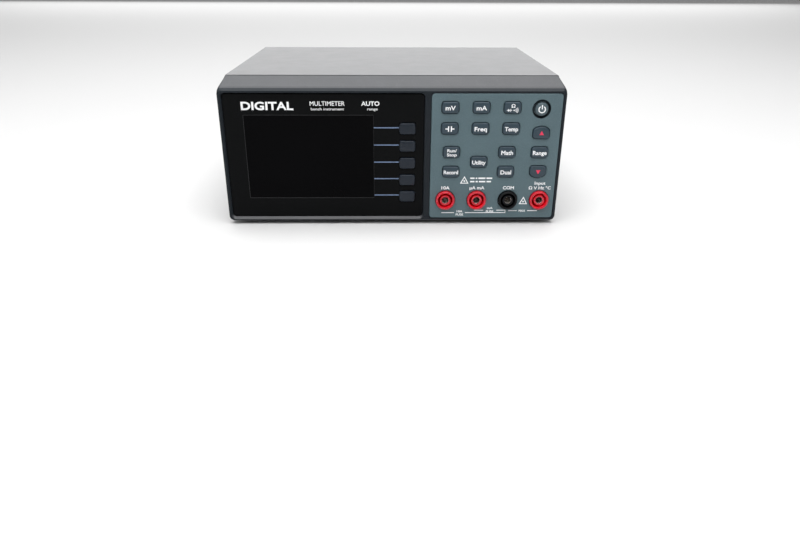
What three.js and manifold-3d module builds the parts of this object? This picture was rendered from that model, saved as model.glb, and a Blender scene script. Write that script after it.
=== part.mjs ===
// Mains-powered bench digital multimeter: a two-shell plastic case behind a full-face front bezel, a display
// window with five soft keys, a key panel with fourteen function keys and a power button, four 4 mm safety
// jacks, and the boards, transformer, fuses and mains parts inside.
// Millimetres. +X is to the right as the front is faced, +Y goes to the back, +Z is up. The origin is on the
// surface that the meter stands on, under the middle of its bounding box.
import * as THREE from "three";
import { ConvexGeometry } from "three/addons/geometries/ConvexGeometry.js";
import { mergeVertices } from "three/addons/utils/BufferGeometryUtils.js";
import Module from "manifold-3d";

const wasm = await Module();
wasm.setup();

// ---------------------------------------------------------------- driving dimensions
const CASE_W = 200; // overall width
const CASE_H = 88; // overall height, feet included
const FRONT_Y = -73; // plane of the front face
const REAR_Y = 75; // rear rim of the two shells
const RIM_TOP = 80.8; // top of the front face, where the sloping brow starts
const BEZEL_BOTTOM = 2.4; // underside of the bezel
const FLOOR_Z = 3; // underside of the bottom case
const BROW_DEPTH = 9.4; // how far the brow runs back
const LIP_DEPTH = 1.9; // depth of the steeper band at the foot of the brow
const LIP_TOP = 82.9; // height of its upper edge
const HIP = 4; // how far the sloping top edges lean in at each side
const WALL = 2.4; // shell wall
const GAP = 0.3; // parting gap between neighbouring pieces
const SPLIT_Z = 45; // parting line of the two shells
const SEAM_Y = FRONT_Y + BROW_DEPTH; // back edge of the bezel's outside

const WINDOW = { x0: -97.8, x1: 18.5, z0: 4.7, z1: 79.2, r: 2.2 }; // pocket for the display window
const PANEL = { x0: 22.2, x1: 98.2, z0: 3.9, z1: 79.5, r: 2.2 }; // pocket for the key panel
const WINDOW_Y = FRONT_Y + 1.2; // front of the window, sunk in the bezel
const PANEL_Y = FRONT_Y - 0.1; // front of the key panel

const KEY = { w: 9.8, h: 6.6, r: 1.7, proud: 1.3, travel: 1.0 };
const SOFT = { w: 9.3, h: 6.5, r: 1.3, proud: 1.4 };
const FUNCTION_KEYS = {
  key_millivolt: [33.2, 71.4],
  key_milliamp: [51.1, 71.4],
  key_ohm: [69.0, 71.4],
  key_capacitance: [33.2, 59.3],
  key_frequency: [51.1, 59.3],
  key_temperature: [69.0, 59.3],
  key_range_up: [86.8, 57.0],
  key_run_stop: [34.7, 45.3],
  key_math: [67.5, 45.3],
  key_range_auto: [86.8, 45.2],
  key_utility: [51.1, 39.4],
  key_record: [34.7, 33.4],
  key_dual: [67.5, 33.4],
  key_range_down: [86.8, 33.4],
};
const SOFT_X = 8.7;
const SOFT_Z = [58.9, 48.6, 38.3, 28.0, 17.7];
const POWER = { x: 85.9, z: 70.5, r: 3.8, wellR: 5.4, holeR: 4.4, proud: 1.0 };

const JACK_PITCH = 19.05; // standard 3/4 inch pitch of 4 mm plugs
const JACK_X0 = 31.9;
const JACK_Z = 15.6;
const JACK_R = 5.75;
const JACK_FRONT = FRONT_Y - 2.0;
const JACKS = ["jack_10a", "jack_ma", "jack_com", "jack_input"];

const SCREWS = [
  ["case_screw_front_left", -90, -38],
  ["case_screw_front_right", 90, -38],
  ["case_screw_rear_left", -90, 50],
  ["case_screw_rear_right", 90, 50],
];
const FEET = { front: [86, -54], rear: [86, 62], r: 5.6 };
const TILT = { x: 60, w: 18, hingeY: -54, hingeZ: 4.0, tipY: -30, pinR: 1.2 };
const INLET = { x: -62, z: 34, w: 24.4, h: 16.4 };

// ---------------------------------------------------------------- helpers
const solid = (geometry) => {
  const g = geometry.index ? geometry.toNonIndexed() : geometry.clone();
  for (const name of Object.keys(g.attributes))
    if (name !== "position") g.deleteAttribute(name);
  const merged = mergeVertices(g, 1e-4);
  return new wasm.Manifold(
    new wasm.Mesh({
      numProp: 3,
      vertProperties: merged.attributes.position.array,
      triVerts: new Uint32Array(merged.index.array),
    }),
  );
};
const union = (...parts) => parts.reduce((a, b) => a.add(b));
const cut = (base, ...tools) => tools.reduce((a, b) => a.subtract(b), base);

const box = (x0, x1, y0, y1, z0, z1) =>
  solid(
    new THREE.BoxGeometry(x1 - x0, y1 - y0, z1 - z0).translate(
      (x0 + x1) / 2,
      (y0 + y1) / 2,
      (z0 + z1) / 2,
    ),
  );

// A closed outline of [x, z] points, pushed from y0 back to y1.
const prism = (points, y0, y1) =>
  solid(
    new THREE.ExtrudeGeometry(
      new THREE.Shape(points.map(([x, z]) => new THREE.Vector2(x, z))),
      { depth: y1 - y0, bevelEnabled: false },
    )
      .rotateX(Math.PI / 2)
      .translate(0, y1, 0),
  );

// The same for an outline of [x, y] points, from z0 up to z1.
const slab = (points, z0, z1) =>
  solid(
    new THREE.ExtrudeGeometry(
      new THREE.Shape(points.map(([x, y]) => new THREE.Vector2(x, y))),
      { depth: z1 - z0, bevelEnabled: false },
    ).translate(0, 0, z0),
  );

// And for an outline of [y, z] points, from x0 to x1.
const strip = (points, x0, x1) =>
  solid(
    new THREE.ExtrudeGeometry(
      new THREE.Shape(points.map(([y, z]) => new THREE.Vector2(y, z))),
      { depth: x1 - x0, bevelEnabled: false },
    )
      .rotateZ(Math.PI / 2)
      .rotateY(Math.PI / 2)
      .translate(x0, 0, 0),
  );

const hull = (points) =>
  solid(new ConvexGeometry(points.map((p) => new THREE.Vector3(...p))));

// Anticlockwise rounded rectangle.
const rounded = (x0, x1, z0, z1, r, n = 3) => {
  const out = [];
  const corners = [
    [x1 - r, z0 + r, -90],
    [x1 - r, z1 - r, 0],
    [x0 + r, z1 - r, 90],
    [x0 + r, z0 + r, 180],
  ];
  for (const [cx, cz, from] of corners)
    for (let i = 0; i <= n; i++) {
      const a = ((from + (90 * i) / n) * Math.PI) / 180;
      out.push([cx + r * Math.cos(a), cz + r * Math.sin(a)]);
    }
  return out;
};
const centred = (x, z, w, h, r, n) =>
  rounded(x - w / 2, x + w / 2, z - h / 2, z + h / 2, r, n);

// A solid of revolution about a line along Y at (x, z). The profile is [radius, y].
const turned = (profile, x, z, segments = 24) => {
  const p = profile.map(([r, y]) => new THREE.Vector2(r, y));
  const g = new THREE.LatheGeometry(p, segments).translate(x, 0, z);
  const s = solid(g);
  return s.volume() < 0
    ? solid(new THREE.LatheGeometry([...p].reverse(), segments).translate(x, 0, z))
    : s;
};
// The same about a vertical line at (x, y). The profile is [radius, z].
const turnedUp = (profile, x, y, segments = 20) => {
  const make = (p) =>
    solid(
      new THREE.LatheGeometry(
        p.map(([r, z]) => new THREE.Vector2(r, z)),
        segments,
      )
        .rotateX(Math.PI / 2)
        .translate(x, y, 0),
    );
  const s = make(profile);
  return s.volume() < 0 ? make([...profile].reverse()) : s;
};
const rod = (x, z, r, y0, y1, n = 24) =>
  turned([[0, y0], [r, y0], [r, y1], [0, y1]], x, z, n);
const post = (x, y, r, z0, z1, n = 20) =>
  turnedUp([[0, z0], [r, z0], [r, z1], [0, z1]], x, y, n);
// A round bar along X.
const bar = (y, z, r, x0, x1, n = 16) =>
  solid(
    new THREE.CylinderGeometry(r, r, x1 - x0, n)
      .rotateZ(Math.PI / 2)
      .translate((x0 + x1) / 2, y, z),
  );

// ---------------------------------------------------------------- the group
const meter = new THREE.Group();
meter.name = "bench_multimeter";
const finishes = {
  shell: [0x34363a, 0.55, 0],
  bezel: [0x24262a, 0.5, 0],
  panel: [0x56646a, 0.6, 0],
  window: [0x050506, 0.08, 0],
  key: [0x3d464d, 0.6, 0],
  red: [0xc8102e, 0.4, 0],
  black: [0x0c0c0e, 0.45, 0],
  rubber: [0x17171a, 0.9, 0],
  steel: [0xb4b6b8, 0.35, 1],
  contact: [0xc9b37a, 0.3, 1],
  board: [0x14522f, 0.5, 0],
  silicone: [0x6d7072, 0.8, 0],
  copper: [0xa4562a, 0.4, 0.6],
  lcd: [0x0b0c10, 0.2, 0],
  ceramic: [0xe6e2d8, 0.4, 0],
  ribbon: [0xa9a9a4, 0.6, 0],
};
const materials = Object.fromEntries(
  Object.entries(finishes).map(([name, [color, roughness, metalness]]) => [
    name,
    new THREE.MeshStandardMaterial({ name, color, roughness, metalness }),
  ]),
);
const add = (name, manifold, finish) => {
  const m = manifold.getMesh();
  const n = m.numProp;
  const position = new Float32Array(m.numVert * 3);
  for (let i = 0; i < m.numVert; i++)
    position.set(m.vertProperties.subarray(i * n, i * n + 3), i * 3);
  const geometry = new THREE.BufferGeometry()
    .setAttribute("position", new THREE.BufferAttribute(position, 3))
    .setIndex(new THREE.BufferAttribute(new Uint32Array(m.triVerts), 1));
  geometry.computeVertexNormals();
  const mesh = new THREE.Mesh(geometry, materials[finish]);
  mesh.name = name;
  meter.add(mesh);
  return mesh;
};

// ---------------------------------------------------------------- case section
// The outline of the case seen from the front, taken in by t: flat sides, and top edges that lean in.
const lean = Math.hypot(CASE_H - RIM_TOP, HIP);
const section = (t, bottom = FLOOR_Z) => {
  const x = CASE_W / 2 - t;
  const top = CASE_H - t;
  // the leaning edge, moved in by t along its own normal
  const nx = (CASE_H - RIM_TOP) / lean;
  const nz = HIP / lean;
  const px = CASE_W / 2 - nx * t;
  const pz = RIM_TOP - nz * t;
  const slope = (CASE_H - RIM_TOP) / HIP;
  const zSide = pz - (x - px) * slope;
  const xTop = px - (top - pz) / slope;
  const b = bottom + t;
  const c = Math.max(3 - t * 0.6, 0.6); // lower corner radius
  const out = [];
  for (const [cx, from] of [
    [-x + c, 180],
    [x - c, 270],
  ])
    for (let i = 0; i <= 3; i++) {
      const a = ((from + 30 * i) * Math.PI) / 180;
      out.push([cx + c * Math.cos(a), b + c + c * Math.sin(a)]);
    }
  out.push([x, zSide], [xTop, top], [-xTop, top], [-x, zSide]);
  return out;
};
const at = (points, y) => points.map(([x, z]) => [x, y, z]);

// ---------------------------------------------------------------- front bezel
{
  const face = rounded(-99.4, 99.4, BEZEL_BOTTOM + 0.6, RIM_TOP - 0.4, 2.4);
  const edge = rounded(-100, 100, BEZEL_BOTTOM, RIM_TOP + 0.5, 2.8);
  const back = section(0, BEZEL_BOTTOM);
  const lipX = CASE_W / 2 - (HIP * (LIP_TOP - RIM_TOP)) / (CASE_H - RIM_TOP);
  const outside = hull([
    ...at(face, FRONT_Y),
    ...at(edge, FRONT_Y + 0.6),
    [-lipX, FRONT_Y + LIP_DEPTH, LIP_TOP],
    [lipX, FRONT_Y + LIP_DEPTH, LIP_TOP],
    ...at(back, SEAM_Y),
  ]);
  const lip = prism(section(WALL + GAP), SEAM_Y - 3, SEAM_Y + 3);
  const inner = section(WALL + GAP + 1.5);
  const innerFront = inner.map(([x, z]) => [x, Math.min(z, 78.4)]);
  const cavity = union(
    hull([...at(innerFront, FRONT_Y + 4), ...at(inner, SEAM_Y)]),
    prism(inner, SEAM_Y - 0.5, SEAM_Y + 4),
  );
  const pocket = (p, y1) =>
    prism(rounded(p.x0, p.x1, p.z0, p.z1, p.r), FRONT_Y - 1, y1);
  // the window's pocket flares towards the front, most along its lower edge
  const w = WINDOW;
  const flare = hull([
    ...at(rounded(w.x0 - 0.1, w.x1 + 0.1, w.z0 - 0.1, w.z1 + 0.1, w.r), FRONT_Y + 1.3),
    ...at(rounded(w.x0 - 0.85, w.x1 + 0.35, w.z0 - 1.35, w.z1 + 0.4, w.r + 0.4), FRONT_Y - 0.1),
  ]);
  add(
    "front_bezel",
    cut(
      union(outside, lip),
      cavity,
      pocket(WINDOW, FRONT_Y + 2.9),
      flare,
      pocket(PANEL, FRONT_Y + 2.3),
      prism(rounded(-92.5, 15.4, 9, 75, 1), FRONT_Y + 2, FRONT_Y + 5),
      prism(rounded(24.6, 95.7, 8, 77, 1), FRONT_Y + 2, FRONT_Y + 5),
    ),
    "bezel",
  );
}

// ---------------------------------------------------------------- shells
const shellFront = SEAM_Y + GAP;
const ring = (t0, t1, y0, y1) =>
  cut(prism(section(t0), y0, y1), prism(section(t1), y0 - 1, y1 + 1));
{
  const tube = ring(0, WALL, shellFront, REAR_Y);
  const stop = ring(WALL - 0.2, WALL + 2.2, 68.4, 70.4);
  const lip = ring(WALL - 0.2, WALL + 0.9, 73.0, REAR_Y);
  const whole = union(tube, stop, lip);
  const above = box(-101, 101, -100, 100, SPLIT_Z + GAP / 2, 100);
  const below = box(-101, 101, -100, 100, -1, SPLIT_Z - GAP / 2);

  // top cover, with the screw towers that the case screws pull on
  const towers = SCREWS.map(([, x, y]) =>
    cut(post(x, y, 3.8, SPLIT_Z + GAP / 2, CASE_H - WALL + 0.4, 16), post(x, y, 1.7, 40, 66, 12)),
  );
  // inner skirt that overlaps the bottom case at the parting line
  const skirt = [-1, 1].map((s) =>
    box(
      Math.min(s * 97.3, s * 96.1),
      Math.max(s * 97.3, s * 96.1),
      -58,
      66,
      SPLIT_Z - 2.4,
      SPLIT_Z + 6,
    ),
  );
  const bridges = [-1, 1].map((s) =>
    box(
      Math.min(s * 97.8, s * 96.1),
      Math.max(s * 97.8, s * 96.1),
      -58,
      66,
      SPLIT_Z + 2,
      SPLIT_Z + 6,
    ),
  );
  add("top_cover", union(whole.intersect(above), ...towers, ...skirt, ...bridges), "shell");

  // bottom case: screw towers, tilt-leg wells, board posts, foot seats and side vents
  const sleeves = SCREWS.map(([, x, y]) => post(x, y, 4.2, FLOOR_Z + 0.2, SPLIT_Z - GAP / 2, 16));
  const bores = SCREWS.flatMap(([, x, y]) => [
    post(x, y, 1.8, 0, 60, 12),
    post(x, y, 3.2, 0, 9.4, 16),
  ]);
  const wells = [-1, 1].map((s) =>
    box(s * TILT.x - 12, s * TILT.x + 12, TILT.hingeY - 4, TILT.tipY + 3, FLOOR_Z + 0.2, 8.4),
  );
  const wellCuts = [-1, 1].map((s) =>
    box(
      s * TILT.x - TILT.w / 2 - 0.4,
      s * TILT.x + TILT.w / 2 + 0.4,
      TILT.hingeY - 2.4,
      TILT.tipY + 0.8,
      FLOOR_Z - 1,
      6.4,
    ),
  );
  const fingerCuts = [-1, 1].map((s) =>
    box(s * TILT.x - 4, s * TILT.x + 4, TILT.tipY - 1, TILT.tipY + 5, FLOOR_Z - 1, 4.6),
  );
  const pinHoles = [-1, 1].map((s) =>
    bar(TILT.hingeY, TILT.hingeZ, TILT.pinR + 0.3, s * TILT.x - TILT.w / 2 - 1.9, s * TILT.x + TILT.w / 2 + 1.9, 12),
  );
  const seats = [FEET.front, FEET.rear].flatMap(([x, y]) => [
    post(x, y, FEET.r + 0.3, FLOOR_Z - 1, FLOOR_Z + 1, 20),
    post(-x, y, FEET.r + 0.3, FLOOR_Z - 1, FLOOR_Z + 1, 20),
  ]);
  const boardPosts = [
    [-20, -44],
    [86, 16],
    [-20, 56],
    [40, 58],
  ].map(([x, y]) => post(x, y, 2.6, FLOOR_Z + 0.2, 8.9, 10));
  const vents = [];
  for (const s of [-1, 1])
    for (let i = 0; i < 9; i++) {
      const y = 2 + i * 4.6;
      vents.push(
        box(
          Math.min(s * 94, s * 102),
          Math.max(s * 94, s * 102),
          y - 1.1,
          y + 1.1,
          14,
          38,
        ),
      );
    }
  add(
    "bottom_case",
    cut(
      union(whole.intersect(below), ...sleeves, ...wells, ...boardPosts),
      ...bores,
      ...wellCuts,
      ...fingerCuts,
      ...pinHoles,
      ...seats,
      ...vents,
    ),
    "shell",
  );
}

// ---------------------------------------------------------------- rear panel
{
  const plate = prism(section(WALL + GAP), 70.7, 72.7);
  const grille = [];
  for (let i = 0; i < 7; i++) grille.push(box(52 + i * 5, 54.2 + i * 5, 70, 74, 30, 62));
  add(
    "rear_panel",
    cut(
      plate,
      box(INLET.x - 13.8, INLET.x + 13.8, 70, 74, 11.7, 45.3),
      box(-27.3, -12.7, 70, 74, 27.7, 36.3),
      box(13.7, 26.3, 70, 74, 10.9, 22.8),
      ...grille,
    ),
    "shell",
  );
}

// ---------------------------------------------------------------- display window and display
const softHole = (z, grow) =>
  prism(centred(SOFT_X, z, SOFT.w + 2 * grow, SOFT.h + 2 * grow, SOFT.r + grow), -80, -60);
add(
  "display_window",
  cut(
    prism(
      rounded(WINDOW.x0 + GAP, WINDOW.x1 - GAP, WINDOW.z0 + GAP, WINDOW.z1 - GAP, WINDOW.r - GAP),
      WINDOW_Y,
      WINDOW_Y + 1.4,
    ),
    ...SOFT_Z.map((z) => softHole(z, 0.3)),
  ),
  "window",
);
add("lcd_module", prism(rounded(-90.4, -6.4, 13.2, 70.2, 0.6, 1), WINDOW_Y + 1.8, WINDOW_Y + 5.2), "lcd");
{
  const board = box(-94, 94, -64.4, -62.8, 23, 78);
  add("front_board", board, "board");
}
add("keypad_membrane", prism(rounded(0.5, 94.5, 13.5, 77, 1, 1), -66.0, -64.8).subtract(box(17, 96, -70, -60, 10, 25)), "silicone");

// ---------------------------------------------------------------- key panel
// Range keys are D-shaped: the outer long edge bulges.
const arched = (x, z, w, h, up, grow) => {
  const W = w / 2 + grow;
  const half = h / 2 + grow;
  const s = up ? 1 : -1;
  const r = KEY.r + grow;
  const pts = [];
  const n = 3;
  // the two corners on the flat long edge, then the bulging one
  for (let i = 0; i <= n; i++) {
    const a = ((180 + (90 * i) / n) * Math.PI) / 180;
    pts.push([x - W + r + r * Math.cos(a), z + s * (-half + r + r * Math.sin(a))]);
  }
  for (let i = 0; i <= n; i++) {
    const a = ((270 + (90 * i) / n) * Math.PI) / 180;
    pts.push([x + W - r + r * Math.cos(a), z + s * (-half + r + r * Math.sin(a))]);
  }
  const rise = 1.9;
  for (let i = 0; i <= 8; i++) {
    const t = 1 - (2 * i) / 8;
    pts.push([x + W * t * 0.985, z + s * (half - rise * t * t)]);
  }
  return up ? pts : pts.reverse();
};
const keyOutline = (name, [x, z], grow) => {
  if (name === "key_range_up") return arched(x, z, KEY.w, KEY.h + 0.6, true, grow);
  if (name === "key_range_down") return arched(x, z, KEY.w, KEY.h + 0.6, false, grow);
  return centred(x, z, KEY.w + 2 * grow, KEY.h + 2 * grow, KEY.r + grow);
};
const jackX = JACKS.map((_, i) => JACK_X0 + i * JACK_PITCH);
{
  const plate = union(
    prism(
      rounded(PANEL.x0 + 0.25, PANEL.x1 - 0.25, PANEL.z0 + 0.25, PANEL.z1 - 0.25, PANEL.r - 0.25),
      PANEL_Y + 0.25,
      PANEL_Y + 2.0,
    ),
    hull([
      ...at(rounded(PANEL.x0 + 0.5, PANEL.x1 - 0.5, PANEL.z0 + 0.5, PANEL.z1 - 0.5, PANEL.r - 0.5), PANEL_Y),
      ...at(rounded(PANEL.x0 + 0.25, PANEL.x1 - 0.25, PANEL.z0 + 0.25, PANEL.z1 - 0.25, PANEL.r - 0.25), PANEL_Y + 0.3),
    ]),
  );
  const well = turned(
    [
      [0, PANEL_Y - 0.5],
      [POWER.wellR + 0.35, PANEL_Y - 0.5],
      [POWER.wellR, PANEL_Y],
      [POWER.holeR, PANEL_Y + 1.3],
      [POWER.holeR, PANEL_Y + 4],
      [0, PANEL_Y + 4],
    ],
    POWER.x,
    POWER.z,
  );
  add(
    "key_panel",
    cut(
      plate,
      ...Object.entries(FUNCTION_KEYS).map(([name, p]) => prism(keyOutline(name, p, 0.3), -80, -60)),
      ...jackX.map((x) => rod(x, JACK_Z, JACK_R + 0.3, -80, -60, 24)),
      well,
    ),
    "panel",
  );
}

// ---------------------------------------------------------------- keys
const cap = (outline, inner, front, back) =>
  union(
    hull([...at(inner, front), ...at(outline, front + 0.6)]),
    prism(outline, front + 0.55, back),
  );
for (const [name, p] of Object.entries(FUNCTION_KEYS)) {
  const [x, z] = p;
  const front = PANEL_Y - KEY.proud;
  const cover = cap(keyOutline(name, p, 0), keyOutline(name, p, -0.7), front, -70.2);
  const flange = box(x - 5.7, x + 5.7, -70.7, -69.7, z - 3.9, z + 3.9);
  const stem = box(x - 2.2, x + 2.2, -69.9, -67.3, z - 1.8, z + 1.8);
  add(name, union(cover, flange, stem), "key");
}
SOFT_Z.forEach((z, i) => {
  const front = WINDOW_Y - SOFT.proud;
  const o = (g) => centred(SOFT_X, z, SOFT.w + 2 * g, SOFT.h + 2 * g, SOFT.r + g);
  const cover = cap(o(0), o(-0.6), front, -69.9);
  const flange = box(SOFT_X - 5.5, SOFT_X + 5.5, -70.0, -69.1, z - 3.9, z + 3.9);
  const stem = box(SOFT_X - 2, SOFT_X + 2, -69.3, -67.3, z - 1.6, z + 1.6);
  add(`soft_key_${i + 1}`, union(cover, flange, stem), "key");
});
add(
  "power_button",
  turned(
    [
      [0, PANEL_Y - POWER.proud],
      [POWER.r - 0.5, PANEL_Y - POWER.proud],
      [POWER.r, PANEL_Y - POWER.proud + 0.4],
      [POWER.r, -70.6],
      [4.9, -70.6],
      [4.9, -69.6],
      [2.2, -69.6],
      [2.2, -67.5],
      [0, -67.5],
    ],
    POWER.x,
    POWER.z,
  ),
  "key",
);

// ---------------------------------------------------------------- 4 mm safety jacks
JACKS.forEach((name, i) => {
  const x = jackX[i];
  const y = JACK_FRONT;
  add(
    name,
    turned(
      [
        [5.2, y],
        [JACK_R, y + 0.5],
        [JACK_R, -70.5],
        [6.3, -70.5],
        [6.3, -69.2],
        [JACK_R, -69.2],
        [JACK_R, -50.6],
        [2.75, -50.6],
        [2.75, y + 1.4],
        [2.15, y + 1.4],
        [2.15, y + 0.6],
        [3.2, y + 0.6],
        [3.2, -55],
        [4.4, -55],
        [4.4, y + 0.3],
        [4.7, y],
        [5.2, y],
      ],
      x,
      JACK_Z,
    ),
    name === "jack_com" ? "black" : "red",
  );
  add(
    name.replace("jack", "contact"),
    union(
      turned(
        [
          [2.5, y + 1.7],
          [2.5, -48.4],
          [0, -48.4],
          [0, -52],
          [2.02, -52],
          [2.02, y + 1.7],
          [2.5, y + 1.7],
        ],
        x,
        JACK_Z,
        20,
      ),
      box(x - 1.6, x + 1.6, -48.8, -46.4, 11.2, JACK_Z + 1.6),
    ),
    "contact",
  );
});

// ---------------------------------------------------------------- main board and what stands on it
const BOARD_Z = 9.2;
const TOP = BOARD_Z + 1.6;
add(
  "main_board",
  cut(box(-26, 94, -49, 64, BOARD_Z, TOP), box(85, 95, -43.5, -32.5, 0, 20), box(85, 95, 44.5, 55.5, 0, 20)),
  "board",
);
add(
  "shield_can",
  cut(box(44, 83, -40, 22, TOP + 0.3, 25), box(44.8, 82.2, -39.2, 21.2, TOP, 24.2)),
  "steel",
);
const fuse = (x, y0, y1, r, z) => {
  const n = 20;
  return union(
    rod(x, z, r, y0, y0 + 6, n),
    rod(x, z, r - 0.35, y0 + 5, y1 - 5, n),
    rod(x, z, r, y1 - 6, y1, n),
  );
};
add("fuse_10a", fuse(22, -41, -3, 5.1, TOP + 5.6), "ceramic");
add("fuse_ma", fuse(36, -41, -9, 3.15, TOP + 3.6), "ceramic");
add("filter_capacitor", post(-10, 40, 8, TOP + 0.3, 44, 20), "black");
{
  // flat cable from the main board up to the front board
  const t = 0.7;
  const path = [
    [-40, TOP + 0.4],
    [-47, TOP + 0.6],
    [-54, 14],
    [-58.5, 20],
    [-60.5, 27],
    [-61.6, 34],
  ];
  const up = path.map(([y, z]) => [y, z]);
  const down = [...path].reverse().map(([y, z]) => [y + t * 0.9, z + t]);
  add("ribbon_cable", strip([...up, ...down], -18, 8), "ribbon");
}

// ---------------------------------------------------------------- mains transformer
{
  const X = -62;
  const Y = 14;
  const z0 = 6.2;
  const core = cut(
    union(box(X - 28, X + 28, Y - 13, Y + 13, z0 + 2, z0 + 47), box(X - 28, X + 28, Y - 19, Y + 19, z0, z0 + 2)),
    box(X - 19, X - 9, Y - 20, Y + 20, z0 + 10, z0 + 39),
    box(X + 9, X + 19, Y - 20, Y + 20, z0 + 10, z0 + 39),
  );
  add("transformer_core", core, "steel");
  const loop = (w, d, r) =>
    rounded(X - w, X + w, Y - d, Y + d, r, 3);
  add(
    "transformer_winding",
    cut(slab(loop(18.7, 22, 5), z0 + 10.4, z0 + 38.6), slab(loop(9.4, 13.4, 0.3), z0, z0 + 50)),
    "copper",
  );
}

// ---------------------------------------------------------------- mains inlet with its fuse drawer
{
  const { x, z, w, h } = INLET;
  const flange = prism(rounded(x - 16, x + 16, 9.6, 47.4, 1.5, 2), 73, 75);
  const body = box(x - 13.5, x + 13.5, 53, 73.2, 12, 45);
  // keyed socket recess: the two upper corners are cut off
  const recess = prism(
    [
      [x - w / 2, z - h / 2],
      [x + w / 2, z - h / 2],
      [x + w / 2, z + h / 2 - 4],
      [x + w / 2 - 4, z + h / 2],
      [x - w / 2 + 4, z + h / 2],
      [x - w / 2, z + h / 2 - 4],
    ],
    57,
    76,
  );
  const blade = (dx, dz) => box(x + dx - 1, x + dx + 1, 56, 72, z + dz - 2, z + dz + 2);
  const drawerSlot = box(x - 11, x + 11, 55, 76, 13.4, 21.9);
  add(
    "mains_inlet",
    union(cut(union(flange, body), recess, drawerSlot), blade(-7, -1.2), blade(7, -1.2), blade(0, 3)),
    "black",
  );
  add(
    "fuse_drawer",
    cut(
      union(
        box(x - 10.7, x + 10.7, 56, 74.6, 13.7, 21.6),
      ),
      box(x - 9, x + 9, 58, 71, 15.6, 24),
      box(x - 3, x + 3, 73.6, 76, 16.4, 18.9),
    ),
    "black",
  );
}

// ---------------------------------------------------------------- supply voltage selector
{
  add(
    "voltage_selector",
    cut(
      union(box(-30, -10, 73, 74.4, 26, 38), box(-27, -13, 60, 73.2, 28, 36)),
      box(-25.6, -14.4, 70, 76, 29.4, 34.6),
    ),
    "black",
  );
  add("voltage_slider", box(-25.3, -19.9, 70.4, 74.2, 29.7, 34.3), "red");
}

// ---------------------------------------------------------------- USB socket
add(
  "usb_port",
  union(
    cut(box(14, 26, 58, 74, TOP + 0.4, TOP + 11.6), box(15.8, 24.2, 61, 76, TOP + 2.2, TOP + 9.8)),
    box(17.2, 22.8, 60.5, 69.8, TOP + 4.4, TOP + 7.6),
  ),
  "steel",
);

// ---------------------------------------------------------------- tilt legs, feet and screws
for (const [side, s] of [
  ["left", -1],
  ["right", 1],
]) {
  const x = s * TILT.x;
  const { hingeY: y, hingeZ: z, tipY, w, pinR } = TILT;
  const leg = strip(
    [
      [y, z - 1.7],
      [tipY - 1.5, z - 1.7],
      [tipY, z - 0.4],
      [tipY, z + 1.3],
      [y, z + 1.3],
    ],
    x - w / 2,
    x + w / 2,
  );
  add(
    `tilt_leg_${side}`,
    union(leg, bar(y, z, 1.9, x - w / 2, x + w / 2, 16), bar(y, z, pinR, x - w / 2 - 1.6, x + w / 2 + 1.6, 12)),
    "bezel",
  );
  for (const place of ["front", "rear"]) {
    const [fx, fy] = FEET[place];
    add(
      `${place}_foot_${side}`,
      turnedUp([[0, 0], [FEET.r - 0.6, 0], [FEET.r, 0.8], [FEET.r, FLOOR_Z + 0.75], [0, FLOOR_Z + 0.75]], s * fx, fy, 20),
      "rubber",
    );
  }
}
for (const [name, x, y] of SCREWS)
  add(
    name,
    turnedUp([[0, 6.2], [2.8, 6.2], [2.8, 8.9], [1.4, 8.9], [1.4, 60], [0.4, 61.5], [0, 61.5]], x, y, 14),
    "steel",
  );

export default meter;
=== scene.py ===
import math

import bmesh
import bpy
from mathutils import Matrix, Vector, geometry
from mathutils.bvhtree import BVHTree


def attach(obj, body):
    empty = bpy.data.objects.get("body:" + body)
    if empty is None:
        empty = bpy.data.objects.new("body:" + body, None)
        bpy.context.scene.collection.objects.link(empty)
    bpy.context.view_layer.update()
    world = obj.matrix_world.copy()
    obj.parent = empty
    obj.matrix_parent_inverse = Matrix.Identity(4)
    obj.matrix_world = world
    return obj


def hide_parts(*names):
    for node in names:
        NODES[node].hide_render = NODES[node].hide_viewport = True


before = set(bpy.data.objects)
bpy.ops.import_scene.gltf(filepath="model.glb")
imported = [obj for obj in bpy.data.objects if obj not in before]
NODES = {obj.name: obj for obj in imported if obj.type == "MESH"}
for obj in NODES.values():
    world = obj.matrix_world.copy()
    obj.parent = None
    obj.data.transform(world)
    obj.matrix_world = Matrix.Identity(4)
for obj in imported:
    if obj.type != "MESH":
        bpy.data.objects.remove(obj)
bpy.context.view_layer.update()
MM = 0.001

# The main planes and positions of the CAD model, in millimetres.
FRONT_Y = -73.0
SEAM_Y = -63.6
PANEL_Y = -73.1
WINDOW_Y = -71.8
JACK_FRONT = -75.0
JACK_Z = 15.6
JACK_X = [31.9 + 19.05 * i for i in range(4)]
WINDOW = (-97.8, 18.5, 4.7, 79.2, 2.2)
PANEL = (22.2, 98.2, 3.9, 79.5, 2.2)
KEY_W, KEY_H, KEY_R = 9.8, 6.6, 1.7
KEYS = {
    "key_millivolt": (33.2, 71.4),
    "key_milliamp": (51.1, 71.4),
    "key_ohm": (69.0, 71.4),
    "key_capacitance": (33.2, 59.3),
    "key_frequency": (51.1, 59.3),
    "key_temperature": (69.0, 59.3),
    "key_range_up": (86.8, 57.0),
    "key_run_stop": (34.7, 45.3),
    "key_math": (67.5, 45.3),
    "key_range_auto": (86.8, 45.2),
    "key_utility": (51.1, 39.4),
    "key_record": (34.7, 33.4),
    "key_dual": (67.5, 33.4),
    "key_range_down": (86.8, 33.4),
}
SOFT_X = 8.7
SOFT_Z = [58.9, 48.6, 38.3, 28.0, 17.7]
SOFT_W, SOFT_H, SOFT_R = 9.3, 6.5, 1.3
POWER = (85.9, 70.5)


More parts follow.
